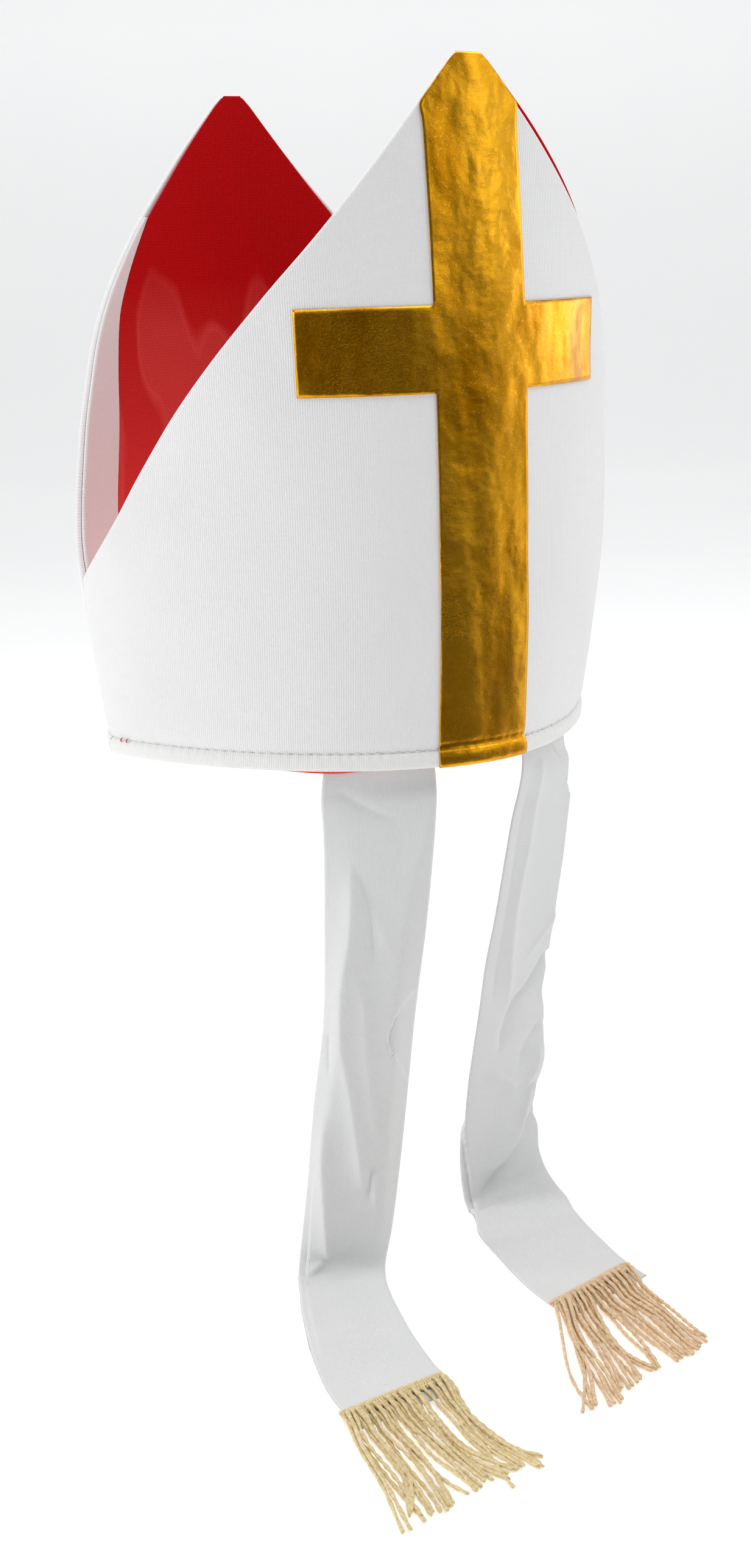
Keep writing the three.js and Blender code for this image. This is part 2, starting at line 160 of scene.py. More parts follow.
def red_share(height):
    """Share of the plain horn's half width that the red lining covers."""
    rise = (height - NOTCH_HEIGHT) / (MITRE_HEIGHT - NOTCH_HEIGHT)
    half = quarter_length(NOTCH_HEIGHT, -1) * float(curve(RED_RISE, RED_HALF, rise))
    return min(half / horn_half(height, -1), 1 - FACING_LEAST)


def face_row(across, height, outwards=0.0, z=None):
    """Points on the cross panel at one height: `across` along the cloth, moved outwards."""
    across = np.asarray(across, float)
    outwards = np.broadcast_to(np.asarray(outwards, float), across.shape)
    z = np.broadcast_to(np.asarray(height if z is None else z, float), across.shape)
    px, py = np.zeros(across.shape), np.zeros(across.shape)
    for side in (-1, 1):
        x, y, length, nx, ny = quarter(height, side)
        reach = np.minimum(np.abs(across), length[-1])
        here = (across < 0) == (side < 0)
        moved_x = np.interp(reach, length, x) + outwards * np.interp(reach, length, nx)
        moved_y = np.interp(reach, length, y) + outwards * np.interp(reach, length, ny)
        px = np.where(here, side * moved_x, px)
        py = np.where(here, moved_y, py)
    return np.stack([px, np.minimum(py, -0.02), z], -1)


def wave(u, v, scale, seed):
    return noise.noise(Vector((u / scale + seed * 7.3, v / scale - seed * 3.1, seed * 11.7)))


def relief(across, height, seed):
    """How far the cloth stands off its plain form: slack swells and shallow dents."""
    fade = min(max((height - 6) / 25, 0), 1)
    swell = [0.9 * wave(u, height, 62, seed) + 0.35 * wave(u, height * 0.6, 21, seed + 1) for u in across]
    return np.array(swell) * fade


# Mesh building

def new_piece(name, points, faces, uvs=None, materials=(), indices=None, smooth=True):
    mesh = bpy.data.meshes.new(name)
    mesh.from_pydata([tuple(p) for p in np.asarray(points) * MM], [], faces)
    if uvs is not None:
        layer = mesh.uv_layers.new(name="cloth")
        loops = np.zeros(len(mesh.loops), dtype=np.int32)
        mesh.loops.foreach_get("vertex_index", loops)
        layer.data.foreach_set("uv", (np.asarray(uvs)[loops] * MM).astype(np.float32).ravel())
    for material in materials:
        mesh.materials.append(material)
    if indices is not None:
        mesh.polygons.foreach_set("material_index", np.asarray(indices, dtype=np.int32))
    if smooth:
        mesh.polygons.foreach_set("use_smooth", [True] * len(mesh.polygons))
    mesh.update()
    piece = bpy.data.objects.new(name, mesh)
    bpy.context.scene.collection.objects.link(piece)
    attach(piece, "root")
    return piece


def shell(outer, inner, uv):
    """Closed skin of two grids that share their border. Returns points, faces and uvs."""
    rows, cols = outer.shape[:2]
    number = np.arange(rows * cols).reshape(rows, cols)
    under = number.copy()
    under[1:-1, 1:-1] = rows * cols + np.arange((rows - 2) * (cols - 2)).reshape(rows - 2, cols - 2)
    points = np.concatenate([outer.reshape(-1, 3), inner[1:-1, 1:-1].reshape(-1, 3)])
    uvs = np.concatenate([uv.reshape(-1, 2), uv[1:-1, 1:-1].reshape(-1, 2)])
    faces = []
    for grid, flip in ((number, False), (under, True)):
        a, b, c, d = grid[:-1, :-1], grid[:-1, 1:], grid[1:, 1:], grid[1:, :-1]
        ring = (d, c, b, a) if flip else (a, b, c, d)
        faces += np.stack([q.ravel() for q in ring], -1).tolist()
    return points, faces, uvs


def tube(path, radii, sides, phase=0.0, lobes=0, depth=0.0, twist=0.0):
    """Closed tube along a path of points, with rounded ends; lobes make it look like twisted plies."""
    path = np.asarray(path, float)
    n = len(path)
    tangent = np.gradient(path, axis=0)
    tangent /= np.linalg.norm(tangent, axis=1)[:, None]
    up = np.array([0.0, 0.0, 1.0])
    if abs(tangent[0] @ up) > 0.9:
        up = np.array([0.0, 1.0, 0.0])
    points, faces = [], []
    length = np.concatenate([[0], np.cumsum(np.linalg.norm(np.diff(path, axis=0), axis=1))])
    for i in range(n):
        side = np.cross(tangent[i], up)
        side /= np.linalg.norm(side)
        lift = np.cross(side, tangent[i])
        angle = np.arange(sides) * 2 * math.pi / sides + phase
        turn = twist * length[i]
        size = radii[i] * (1 + depth * np.cos(lobes * (angle - turn)))
        points += list(path[i] + np.outer(size * np.cos(angle), side) + np.outer(size * np.sin(angle), lift))
    for i in range(n - 1):
        for j in range(sides):
            k = (j + 1) % sides
            faces.append((i * sides + j, i * sides + k, (i + 1) * sides + k, (i + 1) * sides + j))
    faces.append(tuple(range(sides))[::-1])
    faces.append(tuple((n - 1) * sides + j for j in range(sides)))
    return points, faces


def join_parts(parts):
    points, faces = [], []
    for more_points, more_faces in parts:
        start = len(points)
        points += list(more_points)
        faces += [tuple(start + i for i in face) for face in more_faces]
    return points, faces


# Materials

class Nodes:
    """Small helper that adds shader nodes to one material."""

    def __init__(self, name):
        self.material = bpy.data.materials.new(name)
        self.material.use_nodes = True
        self.tree = self.material.node_tree
        self.shader = self.tree.nodes["Principled BSDF"]

    def add(self, kind, inputs=None, **settings):
        node = self.tree.nodes.new(kind)
        for key, value in settings.items():
            setattr(node, key, value)
        for key, value in (inputs or {}).items():
            self.put(node, key, value)
        return node

    def put(self, node, key, value):
        if isinstance(value, bpy.types.NodeSocket):
            self.tree.links.new(value, node.inputs[key])
        else:
            node.inputs[key].default_value = value

    def set(self, **values):
        for key, value in values.items():
            self.put(self.shader, key.replace("_", " "), value)

    def math(self, operation, a, b=0.0, c=0.0):
        node = self.add("ShaderNodeMath", {0: a, 1: b, 2: c}, operation=operation)
        return node.outputs[0]

    def noise(self, vector, scale, detail=2.0, rough=0.5):
        inputs = {"Vector": vector, "Scale": scale, "Detail": detail, "Roughness": rough}
        return self.add("ShaderNodeTexNoise", inputs).outputs["Fac"]

    def ramp(self, value, low, high, to_low=0.0, to_high=1.0):
        inputs = {"Value": value, "From Min": low, "From Max": high, "To Min": to_low, "To Max": to_high}
        return self.add("ShaderNodeMapRange", inputs).outputs["Result"]

    def mix(self, share, a, b):
        node = self.add("ShaderNodeMix", data_type="RGBA")
        self.put(node, 0, share)
        self.put(node, 6, a)
        self.put(node, 7, b)
        return node.outputs[2]

    def bump(self, height, distance, strength=1.0, normal=None):
        inputs = {"Height": height, "Distance": distance, "Strength": strength}
        if normal is not None:
            inputs["Normal"] = normal
        return self.add("ShaderNodeBump", inputs).outputs["Normal"]

    def slanted(self, vector, turn, stretch):
        """A pattern's place turned by an angle and drawn out along one direction."""
        settings = {"Vector": vector, "Rotation": (0, 0, turn), "Scale": (1.0, stretch, 1.0)}
        return self.add("ShaderNodeMapping", settings).outputs[0]

    def cloth_place(self):
        return self.add("ShaderNodeUVMap", uv_map="cloth").outputs["UV"]

    def object_place(self):
        return self.add("ShaderNodeTexCoord").outputs["Object"]


def ribs(nodes, place, pitch_u, pitch_v):
    """Height field of a fine knit: upright wales crossed by short courses."""
    split = nodes.add("ShaderNodeSeparateXYZ", {0: place})
    drift = nodes.math("MULTIPLY", nodes.noise(place, 30.0, 2.0), 2.5)
    phase_u = nodes.math("MULTIPLY_ADD", split.outputs[0], 2 * math.pi / pitch_u, drift)
    wale = nodes.math("SINE", phase_u)
    half_turn = nodes.math("MULTIPLY", wale, 0.9)
    phase_v = nodes.math("MULTIPLY_ADD", split.outputs[1], 2 * math.pi / pitch_v, half_turn)
    course = nodes.math("SINE", phase_v)
    return nodes.math("MULTIPLY_ADD", course, 0.55, wale)


def knit_material(name, color, shade, pitch=0.00083, bump=0.00004, rough=0.82, mottled_shade=0.35):
    nodes = Nodes(name)
    place = nodes.cloth_place()
    height = ribs(nodes, place, pitch, pitch * 0.85)
    fuzz = nodes.noise(place, 2600.0, 3.0, 0.7)
    both = nodes.math("MULTIPLY_ADD", fuzz, 1.6, height)
    # painted shade: broad soft patches mixed towards the shade colour, standing in for the cloth's mottled
    # shading
    broad = nodes.ramp(nodes.noise(place, 18.0, 3.0), 0.35, 0.7, 0.0, mottled_shade)
    # painted shade: the knit's low places are mixed towards the shade colour
    pit_shade = nodes.ramp(both, -1.2, 0.4, 0.5, 0.0)
    share = nodes.math("MAXIMUM", broad, pit_shade)
    tone = nodes.mix(share, color, shade)
    nodes.set(Base_Color=tone, Roughness=rough, Sheen_Weight=0.25, Sheen_Roughness=0.5)
    sag = nodes.bump(nodes.noise(place, 13.0, 2.0), 0.006, 0.3)
    nodes.set(Specular_IOR_Level=0.25, Normal=nodes.bump(both, bump, 1.0, sag))
    return nodes.material


def lining_material(name, color, shade):
    """Thin red knit, with painted light: paler lower down where light comes through, and paler along and
    beside faint slanting folds.
    """
    nodes = Nodes(name)
    place = nodes.cloth_place()
    height = ribs(nodes, place, 0.0009, 0.0011)
    fuzz = nodes.noise(place, 1500.0, 4.0, 0.7)
    sag = nodes.bump(nodes.noise(place, 15.0, 2.0), 0.006, 0.4)
    both = nodes.math("MULTIPLY_ADD", fuzz, 2.5, height)
    share = nodes.ramp(nodes.noise(place, 900.0, 3.0, 0.65), 0.35, 0.75)
    level = nodes.add("ShaderNodeSeparateXYZ", {0: nodes.object_place()}).outputs[2]
    # painted light: the lining is mixed paler and pinker lower down, for light coming through it
    low = nodes.math("MULTIPLY", nodes.ramp(level, 0.05, 0.17, 1.0, 0.0), 0.8)
    plain = nodes.mix(low, nodes.mix(share, color, shade), (0.86, 0.075, 0.07, 1))
    # painted highlight: thin paler lines along faint fold edges and a paler side of each fold, low on the
    # lining
    slant = nodes.slanted(place, -0.7, 0.35)
    fold = nodes.math("SUBTRACT", nodes.noise(slant, 26.0, 1.5, 0.4), 0.5)
    line = nodes.ramp(nodes.math("ABSOLUTE", fold), 0.0, 0.02, 0.22, 0.0)
    fold_highlight = nodes.math("ADD", nodes.ramp(fold, 0.0, 0.012, 0.0, 0.2), line)
    low_fold_highlight = nodes.math("MULTIPLY", fold_highlight, nodes.ramp(level, 0.15, 0.185, 1.0, 0.0))
    tone = nodes.mix(low_fold_highlight, plain, (0.9, 0.16, 0.15, 1))
    nodes.set(Base_Color=tone, Roughness=0.95, Sheen_Weight=0.0)
    nodes.set(Specular_IOR_Level=0.05, Normal=nodes.bump(both, 0.00005, 1.0, sag))
    return nodes.material


def foil_material(name, deep, bright):
    """Crushed gold foil: broad bright and dark sweeps of painted reflection in its colour, soft dents and a
    fine glitter of painted glints.
    """
    nodes = Nodes(name)
    place = nodes.cloth_place()
    slant = nodes.slanted(place, 0.55, 0.4)
    streak = nodes.noise(slant, 40.0, 2.5, 0.5)
    dent = nodes.noise(place, 120.0, 2.0, 0.5)
    grain = nodes.noise(place, 1500.0, 2.0, 0.8)
    glint = nodes.add("ShaderNodeTexVoronoi", {"Vector": place, "Scale": 2200.0}).outputs["Color"]
    flake = nodes.add("ShaderNodeSeparateColor", {0: glint}).outputs[0]
    first = nodes.bump(nodes.math("MULTIPLY_ADD", dent, 0.12, streak), 0.0075, 0.6)
    second = nodes.bump(grain, 0.00008, 0.8, first)
    third = nodes.bump(flake, 0.00012, 1.0, second)
    # painted reflection: the foil's colour sweeps between deep and bright gold in broad slanted streaks,
    # which also set its roughness
    painted_sweep = nodes.ramp(nodes.noise(slant, 34.0, 3.0, 0.55), 0.34, 0.62)
    # painted glints: tiny flakes mixed towards a bright gold
    painted_glint = nodes.ramp(flake, 0.88, 0.98, 0.0, 0.45)
    tone = nodes.mix(painted_glint, nodes.mix(painted_sweep, deep, bright), (1.0, 0.62, 0.1, 1))
    nodes.set(Base_Color=tone, Metallic=1.0, Normal=third)
    nodes.set(Roughness=nodes.ramp(painted_sweep, 0.0, 1.0, 0.36, 0.27))
    return nodes.material


def thread_material(name, color, shade, rough=0.6, sheen=0.3, metallic=0.0, scale=700.0):
    nodes = Nodes(name)
    place = nodes.object_place()
    share = nodes.ramp(nodes.noise(place, scale, 3.0, 0.65), 0.35, 0.7)
    nodes.set(Base_Color=nodes.mix(share, color, shade), Roughness=rough, Sheen_Weight=sheen)
    nodes.set(Metallic=metallic, Normal=nodes.bump(nodes.noise(place, scale * 3, 2.0), 0.0001))
    return nodes.material


def stage_material():
    nodes = Nodes("pale_floor")
    place = nodes.object_place()
    share = nodes.ramp(nodes.noise(place, 3.0, 3.0), 0.3, 0.7, 0.0, 1.0)
    nodes.set(Base_Color=nodes.mix(share, (0.93, 0.93, 0.93, 1), (0.91, 0.91, 0.915, 1)), Roughness=0.9)
    nodes.set(Emission_Color=(1, 1, 1, 1), Emission_Strength=0.37)
    return nodes.material


white = knit_material("white_knit", (0.88, 0.875, 0.88, 1), (0.80, 0.79, 0.80, 1))
hem_white = knit_material("hem_knit", (0.89, 0.89, 0.87, 1), (0.82, 0.82, 0.79, 1), bump=0.00004)
facing_white = knit_material("facing_cloth", (0.84, 0.82, 0.82, 1), (0.77, 0.74, 0.74, 1))
lappet_white = knit_material(
    "lappet_cloth", (0.765, 0.77, 0.77, 1), (0.705, 0.71, 0.71, 1), pitch=0.0006, bump=0.00003, rough=0.7)
red = lining_material("red_lining", (0.56, 0.006, 0.008, 1), (0.46, 0.004, 0.006, 1))
foil = foil_material("gold_foil", (0.62, 0.25, 0.001, 1), (1.0, 0.49, 0.02, 1))
white_thread = thread_material("white_thread", (0.88, 0.88, 0.86, 1), (0.75, 0.75, 0.73, 1))
red_thread = thread_material("red_thread", (0.5, 0.01, 0.015, 1), (0.35, 0.006, 0.01, 1))
gold_thread = thread_material("gold_thread", (0.80, 0.42, 0.07, 1), (0.45, 0.20, 0.02, 1), 0.35, 0.0, 0.9)
pale_braid = thread_material("pale_braid", (0.88, 0.74, 0.43, 1), (0.64, 0.48, 0.22, 1), 0.45, 0.2, 0.15)
warm_braid = thread_material("warm_braid", (0.88, 0.67, 0.42, 1), (0.64, 0.42, 0.22, 1), 0.45, 0.2, 0.15)


# Panels, linings, hem and cross

EDGE_RADIUS = 1.1
EDGE_STEPS = (0.0, 0.16, 0.5)    # extra places near a rounded edge, as distances from it


def edge_inset(distance):
    """How far a rounded edge has sunk below the flat face."""
    d = np.clip((EDGE_RADIUS - np.asarray(distance, float)) / EDGE_RADIUS, 0, 1)
    return EDGE_RADIUS * (1 - np.sqrt(1 - d * d))


def edged_row(low, high, columns):
    """Places from low to high with extra ones at both ends for the rounded edges."""
    middle = np.linspace(low + EDGE_RADIUS, high - EDGE_RADIUS, columns)
    first = [low + step for step in EDGE_STEPS]
    last = [high - step for step in EDGE_STEPS[::-1]]
    return np.concatenate([first, middle, last])


def panel_heights(bottom, step=2.0, top=MITRE_HEIGHT):
    count = int((top - bottom) / step)
    return edged_row(bottom, top, count)


def layer_grids(heights, limits, columns, outer, thick, seed, extra=None, hang=None):
    """Outer and inner grids of a layer of cloth between two limits across, and its cloth places."""
    outs, inns, uvs = [], [], []
    for height in heights:
        low, high = limits(height)
        across = edged_row(low, high, columns)
        swell = relief(across, height, seed)
        if extra is not None:
            swell = swell + extra(across, height)
        sides = np.minimum(across - low, high - across)
        ends = min(height - heights[0], heights[-1] - height)
        sink = np.maximum(edge_inset(sides), edge_inset(ends)) * (thick / 2 / EDGE_RADIUS)
        z = height if hang is None else height - hang(across, height)
        outs.append(face_row(across, height, outer + swell - sink, z))
        inns.append(face_row(across, height, outer + swell - thick + sink, z))
        uvs.append(np.stack([across, np.full(across.shape, height)], -1))
    return np.array(outs), np.array(inns), np.array(uvs)


def droop(across, height):
    """The red lining hangs a little under the hem at the left of the cross panel."""
    low = np.clip((np.asarray(across) + 108) / 46, 0, 1) * np.clip((-25 - np.asarray(across)) / 30, 0, 1)
    return 2.5 * low * max(1 - height / 10, 0)


def groove(across, height):
    """The stitch line pulls the cloth in just above the hem."""
    pull = math.exp(-((height - STITCH_HEIGHT) / GROOVE_SPREAD) ** 2)
    stitches = STITCH_DENT * np.cos(2 * math.pi * np.asarray(across) / STITCH_PITCH)
    return -GROOVE_DEPTH * pull + stitches * pull


def mirrored(points):
    """From the cross side to the plain side."""
    return np.asarray(points) * np.array([1, -1, 1])


def make_layer(name, heights, limits, columns, outer, thick, seed, material,
               extra=None, plain=False, hang=None):
    outs, inns, uv = layer_grids(heights, limits, columns, outer, thick, seed, extra, hang)
    if plain:
        outs, inns = mirrored(inns), mirrored(outs)
    points, faces, uvs = shell(outs, inns, uv)
    return new_piece(name, points, faces, uvs, [material])


CROSS_SEED = 3
PLAIN_SEED = 8


def make_panels():
    def limits(height):
        return SEAM_GAP - horn_half(height, -1), horn_half(height, 1) - SEAM_GAP

    heights = panel_heights(5.2)
    near = make_layer(
        "cross_panel_cloth", heights, limits, 120, 0, PANEL_THICK, CROSS_SEED, white, groove)
    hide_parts("cross_panel")
    far = make_layer(
        "plain_panel_cloth", heights, limits, 120, 0, PANEL_THICK, PLAIN_SEED, white, groove, plain=True)
    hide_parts("plain_panel")


def make_linings():
    heights = panel_heights(0.8, 3.0, MITRE_HEIGHT + 0.3)

    def near_limits(height):
        level = min(height, MITRE_HEIGHT - 0.1)
        inset = 1.4 if height > NOTCH_HEIGHT else -0.2
        proud = 1.5 * math.exp(-((height - 208) / 24) ** 2) * (height > NOTCH_HEIGHT + 5)
        return inset - horn_half(level, -1), horn_half(level, 1) - SEAM_GAP + proud

    def red_limits(height):
        level = min(height, MITRE_HEIGHT - 0.1)
        share = red_share(level)
        return -share * horn_half(level, -1), share * horn_half(level, 1)

    near = make_layer(
        "cross_lining_cloth", heights, near_limits, 80, LINING_OUTER, LINING_THICK, CROSS_SEED, red,
        hang=droop)
    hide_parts("cross_lining")
    far = make_layer(
        "plain_lining_cloth", heights, red_limits, 70, LINING_OUTER, LINING_THICK, PLAIN_SEED, red,
        plain=True)
    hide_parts("plain_lining")
    top = NOTCH_HEIGHT
    while red_share(top) < 1 - FACING_LEAST - 0.0001:
        top += 1
    facing_heights = panel_heights(0.8, 3.0, top)
    for side, name in ((-1, "left_facing"), (1, "right_facing")):
        def limits(height):
            low = red_share(height) * horn_half(height, side) + 0.05
            high = max(horn_half(height, side) - 0.15, low + 1.8)
            return (-high, -low) if side < 0 else (low, high)

        piece = make_layer(
            name + "_cloth", facing_heights, limits, 30, FACING_OUTER, FACING_THICK, PLAIN_SEED, facing_white,
            plain=True)
        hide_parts(name)
    edge = make_lining_edge()


def make_lining_edge():
    """The cross lining rolls out past the right edge of its horn, near the tip."""
    heights = np.linspace(186, 231, 40)
    path = np.array([face_row([horn_half(h, 1) + 0.55], h, -0.9)[0] for h in heights])
    radii = 0.95 * np.sqrt(np.sin(np.linspace(0.02, math.pi - 0.02, 40)))
    points, faces = tube(path, radii, 8)
    return new_piece("lining_edge", points, faces, None, [red])


def full_round(angle):
    """Outward and upward shares of the hem's section, which is fuller than an ellipse."""
    return [math.copysign(abs(share) ** HEM_FULLNESS, share) for share in (math.cos(angle), math.sin(angle))]


def around_hem(along):
    """From a length along the whole hem to a place across a panel, and whether that is the plain one."""
    left, right = quarter_length(0, -1), quarter_length(0, 1)
    if along <= left + right:
        return along - left, False
    return 2 * right + left - along, True


HEM_ROUND = 2 * (quarter_length(0, -1) + quarter_length(0, 1))


def make_hem():
    """Puffed ring round the whole head opening, pinched a little at each stitch."""
    sides, per_stitch = 16, 6
    columns = int(HEM_ROUND / STITCH_PITCH) * per_stitch
    seam = round(columns / 2)
    points, faces, uvs = [], [], []
    angles = [2 * math.pi * k / sides for k in range(sides)]
    for i in range(columns):
        along = i / columns * HEM_ROUND
        across, plain = around_hem(along)
        pull = 0.5 + 0.5 * math.cos(2 * math.pi * i / per_stitch)
        puff = 0.25 * wave(along, 0, 17, 5) + 0.12 * wave(along, 0, 5, 6)
        for k, angle in enumerate(angles):
            share_out, share_up = full_round(angle)
            out, up, rise = HEM_HALF_THICK * share_out, HEM_HALF_HEIGHT * share_up, math.sin(angle)
            pinch = 0.28 * pull * rise if rise > 0.2 and out > 0 else 0.0
            grow = 1 + puff * (0.5 if out > 0 else 0.1)
            height = HEM_HALF_HEIGHT + up
            point = face_row([across], 0, HEM_MIDDLE + out * grow - pinch, max(height, 0.0))[0]
            if i in (0, seam):
                point[1] = 0.0
            points.append(mirrored(point) if plain else point)
            uvs.append((along, out * 2 + up))
            j = (i + 1) % columns
            m = (k + 1) % sides
            faces.append((i * sides + k, j * sides + k, j * sides + m, i * sides + m))
    hem = new_piece("hem_roll", points, faces, uvs, [hem_white])
    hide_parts("hem_band")


def make_stitches():
    count = int(HEM_ROUND / STITCH_PITCH)
    white_parts, gold_parts = [], []
    for i in range(count):
        middle, plain = around_hem((i + 0.5) / count * HEM_ROUND)
        if quarter_length(0, -1 if middle < 0 else 1) - abs(middle) < 3:
            continue
        places = middle + np.linspace(-1.3, 1.3, 5)
        depth = np.array([-0.55, -0.2, -0.12, -0.2, -0.55])
        path = face_row(places, 0, depth, STITCH_HEIGHT + 0.25)
        path[:, 2] += 0.08 * math.sin(i * 2.3)
        part = tube(mirrored(path) if plain else path, [0.16, 0.27, 0.3, 0.27, 0.16], 6)
        on_gold = abs(middle) < BAR_HALF and not plain
        (gold_parts if on_gold else white_parts).append(part)
    for name, parts, material, slot in (
            ("hem_stitches", white_parts, white_thread, "white_cloth"),
            ("hem_stitches_gold", gold_parts, gold_thread, "gold_foil")):
        points, faces = join_parts(parts)
        new_piece(name, points, faces, None, [material])


def make_thread_ends():
    """Two loose red thread ends at the left of the hem."""
    parts = []
    for place, lean in ((-143.6, 0.9), (-140.6, 1.3)):
        across = np.linspace(place - lean * 0.4, place + lean * 0.5, 5)
        path = face_row(across, 6, [0.1, 0.5, 0.65, 0.5, 0.2])
        path[:, 2] = STITCH_HEIGHT + np.linspace(-0.7, 0.9, 5)
        parts.append(tube(path, [0.2, 0.25, 0.25, 0.22, 0.12], 6))
    points, faces = join_parts(parts)
    new_piece("thread_ends", points, faces, None, [red_thread])


def bar_half(height):
    flare = FLARE * math.exp(-((height - FLARE_HEIGHT) / FLARE_SPREAD) ** 2)
    return min(BAR_HALF + flare, horn_half(height, 1) - 0.15)


def foil_crinkle(across, height):
    return np.array([0.10 * wave(u, height * 0.7, 9, 21) + 0.05 * wave(u, height, 4, 22) for u in across])


def make_cross():
    """Foil bar from under the hem to the tip, with an arm to each side of it, in one skin."""
    bar_columns, arm_columns, step = 36, 44, 1.6
    hem_rows = []
    for degrees in range(-84, 66, 10):
        share_out, share_up = full_round(math.radians(degrees))
        out = HEM_MIDDLE + (HEM_HALF_THICK + FOIL_LIFT) * share_out
        up = HEM_HALF_HEIGHT + (HEM_HALF_HEIGHT + 0.3) * share_up
        hem_rows.append((out, up))
    heights = list(np.arange(STITCH_HEIGHT + 1.1, ARM_BOTTOM - 0.5, step)) + [ARM_BOTTOM]
    arm_start = len(hem_rows) + len(heights) - 1
    heights += list(np.linspace(ARM_BOTTOM, ARM_TOP, 19))[1:]
    arm_end = len(hem_rows) + len(heights) - 1
    heights += list(np.arange(ARM_TOP + step, MITRE_HEIGHT - 0.6, step)) + [MITRE_HEIGHT - 0.3]
    columns = 2 * arm_columns + bar_columns
    outs, inns, uvs = [], [], []
    for i in range(len(hem_rows) + len(heights)):
        height = heights[max(i - len(hem_rows), 0)]
        half = bar_half(height)
        left = np.linspace(-ARM_HALF, -half, arm_columns + 1)
        middle = np.linspace(-half, half, bar_columns + 1)
        across = np.concatenate([left, middle[1:], -left[::-1][1:]])
        if i < len(hem_rows):
            out, up = hem_rows[i]
            base, z, level = np.full(across.shape, out), up, 0
        else:
            base = FOIL_LIFT + relief(across, height, CROSS_SEED) + groove(across, height)
            base = base + foil_crinkle(across, height)
            z, level = height, height
        outs.append(face_row(across, level, base + FOIL_THICK, z))
        inns.append(face_row(across, level, base, z))
        uvs.append(np.stack([across, np.full(across.shape, float(z))], -1))
    cells = np.zeros((len(outs) - 1, columns), bool)
    cells[:, arm_columns:arm_columns + bar_columns] = True
    cells[arm_start:arm_end, :] = True
    points, faces, places = masked_shell(np.array(outs), np.array(inns), np.array(uvs), cells)
    piece = new_piece("foil_cross", points, faces, places, [foil])
    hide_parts("gold_cross")


def masked_shell(outs, inns, uvs, cells):
    """Closed skin over the chosen cells of a grid, with walls along its border."""
    rows, cols = outs.shape[:2]
    number, points, places, faces = {}, [], [], []

    def corner(r, c, layer):
        key = (r, c, layer)
        if key not in number:
            number[key] = len(points)
            points.append((outs if layer == 0 else inns)[r, c])
            places.append(uvs[r, c])
        return number[key]

    def has(r, c):
        return 0 <= r < rows - 1 and 0 <= c < cols - 1 and cells[r, c]

    for r in range(rows - 1):
        for c in range(cols - 1):
            if not cells[r, c]:
                continue
            ring = [(r, c), (r, c + 1), (r + 1, c + 1), (r + 1, c)]
            faces.append(tuple(corner(*p, 0) for p in ring))
            faces.append(tuple(corner(*p, 1) for p in ring[::-1]))
            for i, beside in enumerate([(r - 1, c), (r, c + 1), (r + 1, c), (r, c - 1)]):
                if not has(*beside):
                    a, b = ring[i], ring[(i + 1) % 4]
                    faces.append((corner(*b, 0), corner(*a, 0), corner(*a, 1), corner(*b, 1)))
    return np.array(points), faces, np.array(places)


# Lappets

LAPPET_PLACE = {"left": -39.5, "right": 44.5}
LAPPET_ROWS = {
    # height, x, y, angle of the width to +X, share of the width that is spread out
    "left": [
        (-6, -35.9, -80.5, -29, 1), (-25, -37.1, -81.6, -32, 0.95), (-57, -40.1, -82.3, -33, 0.88),
        (-93, -44.6, -83, -34, 0.79), (-123, -49.3, -83.1, -34, 0.81), (-150, -53.7, -84, -34, 0.8),
        (-172, -58, -85, -34, 0.79), (-184, -61, -85.8, -34, 0.77), (-188, -63.5, -90.2, -34, 0.78),
        (-188, -67, -99, -34, 0.79), (-188, -70.9, -109, -32, 0.82), (-188, -79.4, -135.1, -22, 0.88),
        (-188, -84.7, -156.9, -6, 0.93), (-188, -85.8, -169, 2, 0.96), (-188, -87, -179.5, 5, 0.97)],
    "right": [
        (-14, 38.7, -76.3, 27, 1), (-31, 35.9, -75.4, 24, 1), (-58, 32.9, -72.7, 21.5, 1),
        (-87, 29, -69.3, 20, 1), (-121, 26.1, -65.8, 16.5, 1), (-150, 24.1, -63.4, 14, 1),
        (-170, 24.4, -62.6, 12, 1), (-183, 25.9, -63.7, 9, 1), (-188, 26.3, -68.5, 5, 1),
        (-188, 23.3, -78, 0, 1), (-188, 18.7, -89.3, -5, 1), (-188, 14.9, -108.2, -6, 1),
        (-188, 11.6, -130.7, 2, 1), (-188, 11, -143.9, 9, 1), (-188, 11.6, -153.2, 14, 1)],
}

# The left lappet's sides turn back: length below the hem, height of the arch, and the shares of the half
# width where its left and right side begin
LEFT_ARCH = [
    (0, 0, -0.5, 0.9), (24, 1.4, -0.48, 0.85), (48, 4.2, -0.48, 0.66), (80, 5.8, -0.6, 0.6),
    (115, 6.2, -0.62, 0.65), (145, 5.2, -0.7, 0.7), (172, 3, -0.55, 0.75), (188, 0.5, -0.5, 0.85),
    (200, 0, -0.5, 0.9)]

